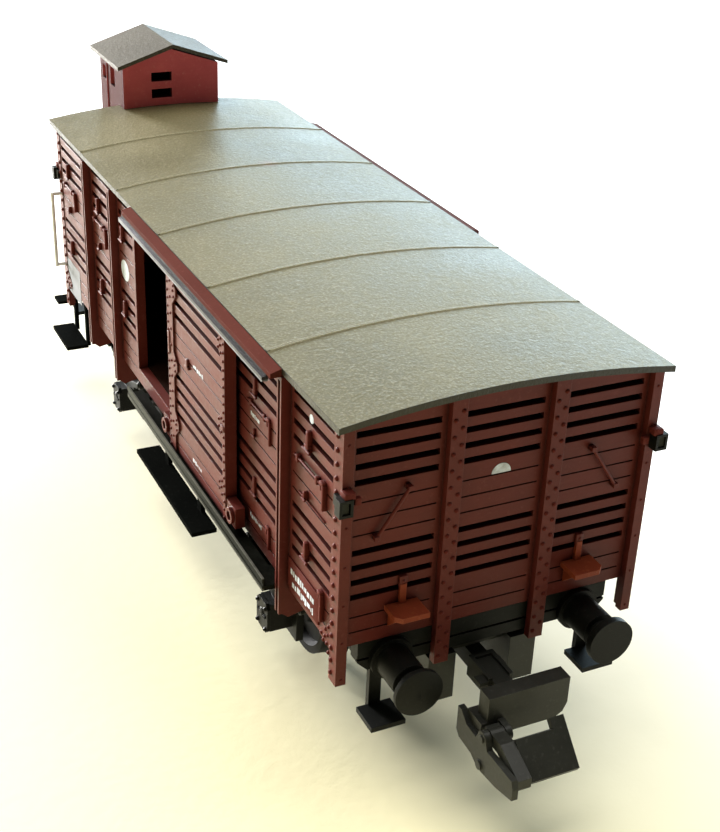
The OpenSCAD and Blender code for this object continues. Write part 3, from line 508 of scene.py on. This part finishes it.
def both_ends(name, fill, slot=None, material=None):
    piece(name + "_front", fill, "car", slot, material)
    piece(name + "_rear", turned(fill), "car", slot, material)


def both_doors(name, fill, slot=None, material=None):
    """A piece of the left door, given the door's middle, and its copy on the right door."""
    piece(name + "_left", lambda bm: fill(bm, LEFT_DOOR_X), "door_left_body", slot, material)
    piece(name + "_right", turned(lambda bm: fill(bm, 2 * MIDDLE - RIGHT_DOOR_X)),
          "door_right_body", slot, material)


# ---------------------------------------------------------------- rivets
def end_rivets(bm):
    """Staggered pairs on the middle posts of the +X end wall, single rows on the corner posts."""
    for y in (-5.0, 5.0):
        for i in range(16):
            z = 12.4 + i * 1.6
            add_rivet(bm, (END_POST, y - 0.36, z), (1, 0, 0), 0.22, 0.19)
            add_rivet(bm, (END_POST, y + 0.36, z + 0.8), (1, 0, 0), 0.22, 0.19)
    for y in (-15.0, 15.0):
        for i in range(7):
            add_rivet(bm, (END_POST, y, 12.6 + i * 3.9), (1, 0, 0), 0.14, 0.1)


both_ends("rivets_end", end_rivets, material=rivet_red)


def side_rivets(bm):
    """Rivets down the corner angles and round the foot gussets of the left side."""
    for i in range(19):
        for x in (END_POST - 1.08, 2 * MIDDLE - END_POST + 1.08):
            add_rivet(bm, (x, -CORNER, 12.9 + i * 1.31), (0, -1, 0), 0.27, 0.2)
    for x, z in ((45.6, 15.75), (46.35, 15.85), (46.45, 16.65), (46.95, 16.3), (47.05, 17.25),
                 (46.05, 15.25), (46.8, 15.35), (47.15, 14.6)):
        for mirrored in (x, 2 * MIDDLE - x):
            add_rivet(bm, (mirrored, -CORNER, z), (0, -1, 0), 0.2, 0.15)


both_sides("rivets_side", side_rivets, material=rivet_red)


def door_rivets(bm, middle):
    """Rivets on the left door's edge strips, with a cluster at each gusset."""
    points = []
    for i in range(23):
        z = 16.1 + i * 0.9
        points.append((DOOR_HALF - 0.3, z))
        points.append((0.35 - DOOR_HALF, z))
        if i % 2:
            points.append((1.2 - DOOR_HALF, z + 0.4))
    for z in (19.2, 26.2, 34.6):
        for dx, dz in ((1.05, 0.0), (0.9, 0.75), (0.9, -0.75), (1.6, 0.35), (1.6, -0.4)):
            points.append((DOOR_HALF - dx, z + dz))
        for dx, dz in ((2.1, 0.0), (2.3, 0.6), (2.3, -0.6)):
            points.append((dx - DOOR_HALF, z + dz))
    for x, z in points:
        add_rivet(bm, (middle + x, DOOR_LEFT_FACE, z), (0, -1, 0), 0.17, 0.13)


both_doors("rivets_door", door_rivets, material=rivet_red)


# ---------------------------------------------------------------- painted shade behind the slots
SLOT_PITCH = 1.5
SLOT_TOPS = (36.35, 25.0)
SLOT_ROWS = [top - SLOT_PITCH * i for top in SLOT_TOPS for i in range(4)]
SIDE_BAYS = ((-40.8, -28.0), (-26.0, -16.5), (-14.5, -9.2), (9.6, 36.2), (38.4, 46.8))
END_BAYS = ((-14.0, -6.2), (-3.8, 3.8), (6.2, 14.0))
SLOT_DEPTH = 0.8
SLOT_HALF = 0.34  # half the height of a lining, a little more than half a slot
LINING = 0.12     # how far a lining stands out from the slot's floor
SUNK = 0.05       # how far it is let in
# Painted shade: a near-black material for the linings in the slots and inside the cab.
shade_black = moulded_plastic("slot_shadow", (0.004, 0.002, 0.0017), (0.003, 0.0015, 0.0013),
                       (0.006, 0.003, 0.0025), 0.7, specular=0.05, grain=0.004, wear=0.0)


def side_linings(bm):
    """Thin dark strips lying on the floors of the left wall's slots: painted shade."""
    face = -(PLANK - SLOT_DEPTH)
    for x0, x1 in SIDE_BAYS:
        for z in SLOT_ROWS:
            add_block(bm, (x0 - 0.1, face - LINING, z - SLOT_HALF),
                      (x1 + 0.1, face + SUNK, z + SLOT_HALF), soft=0)


both_sides("slot_linings_side", side_linings, material=shade_black)


def end_linings(bm):
    face = END_WALL - SLOT_DEPTH
    for y0, y1 in END_BAYS:
        for z in SLOT_ROWS:
            add_block(bm, (face - SUNK, y0 - 0.1, z - SLOT_HALF),
                      (face + LINING, y1 + 0.1, z + SLOT_HALF), soft=0)


both_ends("slot_linings_end", end_linings, material=shade_black)


def door_linings(bm, middle):
    face = DOOR_LEFT_FACE + 0.9
    for z in SLOT_ROWS:
        add_block(bm, (middle - DOOR_HALF + 1.7, face - LINING, z - SLOT_HALF),
                  (middle + DOOR_HALF - 0.65, face + SUNK, z + SLOT_HALF), soft=0)


both_doors("slot_linings_door", door_linings, material=shade_black)


# ---------------------------------------------------------------- fittings on the side walls
def on_wall(bm, x0, x1, z0, z1, proud, soft=0.08):
    """A flat fitting standing proud of the left wall's planks."""
    add_block(bm, (x0, -PLANK - proud, z0), (x1, -PLANK + 0.1, z1), soft=soft)


def wall_rod(bm, x0, z0, x1, z1, proud, radius):
    add_rod(bm, (x0, -PLANK - proud, z0), (x1, -PLANK - proud, z1), radius)


def knob(bm, x, z, radius=0.28, height=0.3):
    add_rivet(bm, (x, -PLANK, z), (0, -1, 0), radius, height, 0.1)


def hatch_hook(bm, x, z, proud):
    """A hinge plate with its pin: wide below, narrow above."""
    on_wall(bm, x - 0.55, x + 0.35, z - 0.95, z - 0.35, proud)
    on_wall(bm, x - 0.2, x + 0.3, z - 0.4, z + 1.0, proud)
    wall_rod(bm, x - 0.75, z - 0.85, x + 0.75, z - 0.85, proud, 0.13)


def latch_handle(bm, x, z0, z1, proud):
    """An arched handle: an upright bar that turns inwards at its top."""
    on_wall(bm, x - 0.16, x + 0.2, z0, z1 - 0.25, proud)
    on_wall(bm, x - 0.62, x + 0.12, z1 - 0.35, z1, proud)
    on_wall(bm, x - 0.72, x - 0.42, z1 - 1.0, z1 - 0.2, proud * 0.8)
    knob(bm, x, z0 + 0.2, 0.26, proud + 0.02)


def drop_bar(bm, x0, x1, z, proud):
    wall_rod(bm, x0, z, x1, z, proud * 0.55, 0.13)
    for x in (x0 + 0.85, x1 - 0.75):
        on_wall(bm, x - 0.22, x + 0.22, z - 0.42, z + 0.3, proud)


def hatch_pin(bm, x, z, proud):
    on_wall(bm, x - 0.15, x + 0.15, z, z + 0.9, proud)
    wall_rod(bm, x - 0.4, z + 0.15, x + 0.4, z + 0.15, proud, 0.11)


def side_fittings(bm):
    """Hatch hooks, drop bars, latches and handles of the left wall, bay by bay from the +X end."""
    free, under_door = 0.42, 0.24
    hatch_hook(bm, 42.1, 33.1, free)
    drop_bar(bm, 39.2, 44.9, 30.5, free)
    latch_handle(bm, 45.5, 28.2, 30.9, free)
    hatch_pin(bm, 41.7, 27.1, free)
    on_wall(bm, 39.9, 45.6, 26.93, 27.12, 0.14)
    hatch_hook(bm, 42.0, 22.0, free)
    latch_handle(bm, 45.6, 16.9, 20.0, free)
    on_wall(bm, 37.9, 44.9, 15.95, 19.1, 0.16, 0.12)
    hatch_hook(bm, 29.4, 32.3, under_door)
    drop_bar(bm, 27.6, 32.6, 30.35, under_door)
    latch_handle(bm, 33.1, 28.0, 30.7, under_door)
    hatch_pin(bm, 29.3, 27.0, under_door)
    hatch_hook(bm, 29.3, 21.7, under_door)
    latch_handle(bm, 33.1, 16.8, 19.2, under_door)
    hatch_hook(bm, -12.6, 32.6, free)
    hatch_hook(bm, -12.6, 23.2, free)
    for x in (-22.9, -37.2):
        hatch_hook(bm, x, 32.6, free)
        drop_bar(bm, x - 2.6, x + 2.6, 30.4, free)
        hatch_pin(bm, x, 26.9, free)
        hatch_hook(bm, x, 22.0, free)
        latch_handle(bm, x + 3.1, 28.1, 30.6, free)


both_sides("fittings_side", side_fittings, material=rivet_red)


def door_fittings(bm, middle):
    """A hook in the door's middle, a lug at its leading edge and a strap at the other."""
    face = DOOR_LEFT_FACE + 0.2
    for x0, x1, z0, z1, proud in ((-2.9, -2.3, 27.7, 28.6, 0.25), (-3.2, -2.1, 27.55, 27.85, 0.25),
                                  (DOOR_HALF - 1.0, DOOR_HALF - 0.1, 25.7, 26.3, 0.3),
                                  (0.2 - DOOR_HALF, 0.8 - DOOR_HALF, 27.0, 29.5, 0.3)):
        add_block(bm, (middle + x0, face - proud, z0), (middle + x1, face + 0.1, z1), soft=0.06)


both_doors("fittings_door", door_fittings, "red_brown_plastic")


# ---------------------------------------------------------------- printed marks, all plain shapes
def dashes(bm, x0, x1, z, height, face, lengths, gap=0.14, thick=0.02):
    """One row of short uneven printed strokes from x0 to x1 on a left-side face at y = face."""
    x, i = x0, 0
    while x < x1 - 0.15:
        end = min(x + lengths[i % len(lengths)] * rng.uniform(0.45, 0.85), x1)
        low = z + height * rng.uniform(0.0, 0.3)
        top = z + height * rng.uniform(0.7, 1.0)
        add_block(bm, (x, face - thick, low), (end, face + 0.05, top), soft=0)
        x, i = end + gap * rng.uniform(0.7, 1.6), i + 1


def side_marks(bm):
    wall = -PLANK
    panel = wall - 0.16
    dashes(bm, 38.7, 44.1, 17.5, 0.78, panel, (0.5, 0.35, 0.5, 0.9, 0.45))
    dashes(bm, 39.1, 43.8, 16.3, 0.78, panel, (0.6, 0.45, 0.9, 0.35))
    disc_x, disc_z, disc_r, disc_t = 42.2, 35.25, 0.42, 0.07
    add_turned(bm, (disc_x, wall + 0.05, disc_z), (disc_x, wall - 0.02, disc_z),
               [(0, 0), (0, disc_r), (disc_t, disc_r), (disc_t, 0)])
    dashes(bm, 28.2, 30.5, 28.85, 0.5, wall, (0.45, 0.9, 0.35))
    dashes(bm, 28.1, 31.0, 17.65, 0.5, wall, (0.35, 0.7, 0.35, 0.5))


both_sides("marks_side", side_marks, material=white_print)


def pale_panel(bm):
    """The plain light panel low in the bay beside the cab."""
    add_block(bm, (-41.4, -PLANK - 0.03, 14.6), (-34.8, -PLANK + 0.05, 19.4), soft=0)


both_sides("panel_side", pale_panel, material=panel_grey)


def plate_marks(bm):
    """The oval plate in the third bay, as a flat disc stretched along X."""
    start = len(bm.verts)
    add_turned(bm, (0, 0.05, 0), (0, -0.05, 0),
               [(0, 0), (0, 1.0), (0.07, 1.0), (0.1, 0.9), (0.1, 0)], 36)
    bm.verts.ensure_lookup_table()
    for v in bm.verts[start:]:
        v.co = Vector((v.co.x * 1.6 - 12.6, v.co.y - PLANK, v.co.z * 1.25 + 28.0))


both_sides("marks_oval", plate_marks, material=white_print)


def door_marks(bm, middle):
    face = DOOR_LEFT_FACE + 0.2
    dashes(bm, middle - 1.0, middle + 1.9, 28.3, 0.5, face, (0.35, 0.6, 0.9))
    dashes(bm, middle - 1.7, middle + 1.0, 17.15, 0.5, face, (0.6, 0.35, 0.7))


both_doors("marks_door", door_marks, material=white_print)


def end_mark(bm):
    """A white half-disc on the end wall, flat side down."""
    centre = Vector((END_WALL, 0.0, 29.98))
    arc = [centre + Vector((0, 0.95 * math.cos(a), 0.95 * math.sin(a)))
           for a in (math.pi * i / 20 for i in range(21))]
    front = [bm.verts.new(p + Vector((0.04, 0, 0))) for p in arc]
    back = [bm.verts.new(p - Vector((0.05, 0, 0))) for p in arc]
    bm.faces.new(front)
    bm.faces.new(back[::-1])
    for i in range(len(arc)):
        j = (i + 1) % len(arc)
        bm.faces.new((front[i], back[i], back[j], front[j]))


both_ends("mark_end", end_mark, material=white_print)


# ---------------------------------------------------------------- fittings on the end walls
def end_fittings(bm):
    """The fixing plates over the buffer steps."""
    for y in (-9.05, 9.05):
        add_block(bm, (END_WALL - 0.05, y - 0.38, 20.6), (END_WALL + 0.3, y + 0.38, 21.7),
                  soft=0.05)
        add_rivet(bm, (END_WALL + 0.3, y, 21.2), (1, 0, 0), 0.17, 0.12)


piece("fittings_end_front", end_fittings, "car", "red_brown_plastic")


def lamp_caps(bm):
    """The arm over each lamp bracket and the catch beside it."""
    for s in (-1, 1):
        arm, catch = s * 15.15, s * 14.2
        add_block(bm, (END_POST - 0.15, arm - 0.5, 31.45), (END_POST + 0.9, arm + 0.5, 32.05),
                  soft=0.08)
        add_block(bm, (END_POST - 0.05, catch - 0.3, 30.5), (END_POST + 0.45, catch + 0.3, 31.2),
                  soft=0.06)


both_ends("lamp_caps", lamp_caps, material=rivet_red)


def lamp_sockets(bm):
    """The dark floors of the lamp brackets' sockets."""
    for s in (-1, 1):
        y = s * 15.62
        add_block(bm, (END_POST + 0.3, y - 0.4, 30.1), (END_POST + 0.8, y + 0.4, 31.3), soft=0)


both_ends("lamp_sockets", lamp_sockets, material=socket_grey)


def rail_shadow(bm):
    """A black strip over the web of the left top rail, between the hood and the rail's foot: partly
    the black track, partly painted shade under the hood.
    """
    lo, hi = box_mm("top_rail_left")
    face = lo.y + 0.4
    add_block(bm, (lo.x, face - 0.02, 36.91), (hi.x, face + 0.02, 37.19), soft=0)


both_sides("rail_webs", rail_shadow, "frame_black_plastic")


def lid_bolts(bm):
    """Bolts and a boss on the lids of the left axle boxes, and the buckles of their springs."""
    for name in ("axle_guard_front_left", "axle_guard_rear_left"):
        lo, hi = box_mm(name)
        x = (lo.x + hi.x) / 2
        for dx in (-1.02, 1.02):
            for z in (5.0, 7.45):
                add_rivet(bm, (x + dx, lo.y, z), (0, -1, 0), 0.26, 0.3, 0.05)
        add_rivet(bm, (x, lo.y, 6.4), (0, -1, 0), 0.62, 0.16, 0.05)
        add_block(bm, (x - 1.0, lo.y + 0.05, 6.28), (x + 1.0, lo.y - 0.1, 6.52), soft=0.04)
        add_block(bm, (x - 0.85, -13.45, 8.4), (x + 0.85, -12.9, 10.9), soft=0.1)
        for s in (-1, 1):
            add_rivet(bm, (x + s * 6.9, -13.4, 11.0), (0, -1, 0), 0.4, 0.25, 0.1)


both_sides("axle_box_bolts", lid_bolts, "frame_black_plastic")


# ---------------------------------------------------------------- the cab's inside, in painted shade
def cab_dark(bm):
    """A dark lining behind the vent slots and windows, so that the cab isn't looked through:
    painted shade.
    """
    lo, hi = box_mm("cab_shell")
    low, top, inset, near = 40.4, 44.2, 1.0, 1.9
    add_block(bm, (hi.x - 3.4, lo.y + inset, low), (hi.x - near, hi.y - inset, top), soft=0)
    add_block(bm, (lo.x + inset, lo.y + inset, low), (lo.x + 1.3, hi.y - inset, top), soft=0)
    for y in (lo.y + inset, hi.y - 1.3):
        add_block(bm, (lo.x + inset, y, low), (hi.x - near, y + 0.3, top), soft=0)


piece("cab_inner_panel", cab_dark, "car", material=shade_black)


# ---------------------------------------------------------------- floor and light
def stage():
    mesh = bpy.data.meshes.new("floor")
    half = 2.5
    mesh.from_pydata([(-half, -half, 0), (half, -half, 0), (half, half, 0), (-half, half, 0)],
                     [], [(0, 1, 2, 3)])
    floor = bpy.data.objects.new("floor", mesh)
    bpy.context.scene.collection.objects.link(floor)
    t = Tree("floor_paper")
    cloud = t.noise(9.0, 3.0, 0.5)
    fibre = t.noise(700.0, 3.0, 0.6)
    spread = t.node("ShaderNodeSeparateXYZ", Vector=t.where)
    away = t.math("ADD", spread.outputs["Y"], t.math("MULTIPLY", spread.outputs["X"], -0.35))
    # Painted shade: a warm tint on the floor towards -Y and +X, a paler tone beyond it.
    shade_tint = t.mix(t.ramp(cloud, 0.35, 0.65), (0.815, 0.752, 0.46), (0.845, 0.79, 0.52))
    tone = t.mix(t.ramp(away, -0.03, 0.06), shade_tint, (0.92, 0.94, 0.96))
    t.feed(t.shader.inputs["Emission Color"], tone)
    reach = t.tree.nodes.new("ShaderNodeVectorMath")
    reach.operation = "LENGTH"
    t.feed(reach.inputs[0], t.where)
    # Painted light: a glow near the car lifts its shadow towards +Y and -X; the glow far from the
    # car evens the backdrop.
    shadow_lift_glow = t.math("MAXIMUM", t.ramp(away, -0.035, 0.04, 0.0, 0.42),
                  t.ramp(reach.outputs["Value"], 0.3, 0.9, 0.0, 0.8))
    t.feed(t.shader.inputs["Emission Strength"], shadow_lift_glow)
    mesh.materials.append(t.surface(tone, t.ramp(fibre, 0.3, 0.7, 0.5, 0.62),
                                    t.bump(fibre, 0.02 * MM), specular=0.3))


def area_light(name, at, target, size, power, colour, size_y):
    data = bpy.data.lights.new(name, "AREA")
    data.shape = "RECTANGLE"
    data.size, data.size_y = size * MM, size_y * MM
    data.energy = power
    data.color = colour
    lamp = bpy.data.objects.new(name, data)
    bpy.context.scene.collection.objects.link(lamp)
    lamp.location = Vector(at) * MM
    aim = Vector(target) * MM - lamp.location
    lamp.rotation_mode = "QUATERNION"
    lamp.rotation_quaternion = aim.to_track_quat("-Z", "Y")


stage()
area_light("window", (-1000, 850, 260), (-20, 0, 20), 1300, 17.0, (0.66, 0.88, 1.0), 420)
area_light("left_fill", (-1330, -380, 180), (0, 0, 20), 400, 88.0, (1.0, 0.99, 0.98), 320)
area_light("ceiling", (-600, 0, 1700), (-600, 0, 0), 1900, 56.0, (1.0, 0.98, 0.93), 2400)

world = bpy.data.worlds.new("studio")
bpy.context.scene.world = world
world.use_nodes = True
nodes, links = world.node_tree.nodes, world.node_tree.links
glow = nodes["Background"]
glow.inputs["Color"].default_value = (1.0, 0.96, 0.84, 1.0)
glow.inputs["Strength"].default_value = 0.08
paper = nodes.new("ShaderNodeBackground")
paper.inputs["Color"].default_value = (1.0, 1.0, 0.98, 1.0)
choice = nodes.new("ShaderNodeMixShader")
links.new(nodes.new("ShaderNodeLightPath").outputs["Is Camera Ray"], choice.inputs[0])
links.new(glow.outputs[0], choice.inputs[1])
links.new(paper.outputs[0], choice.inputs[2])
links.new(choice.outputs[0], nodes["World Output"].inputs["Surface"])

view = bpy.context.scene.view_settings
view.view_transform = "Standard"
view.look = "None"
view.exposure = 0.0
view.gamma = 1.0
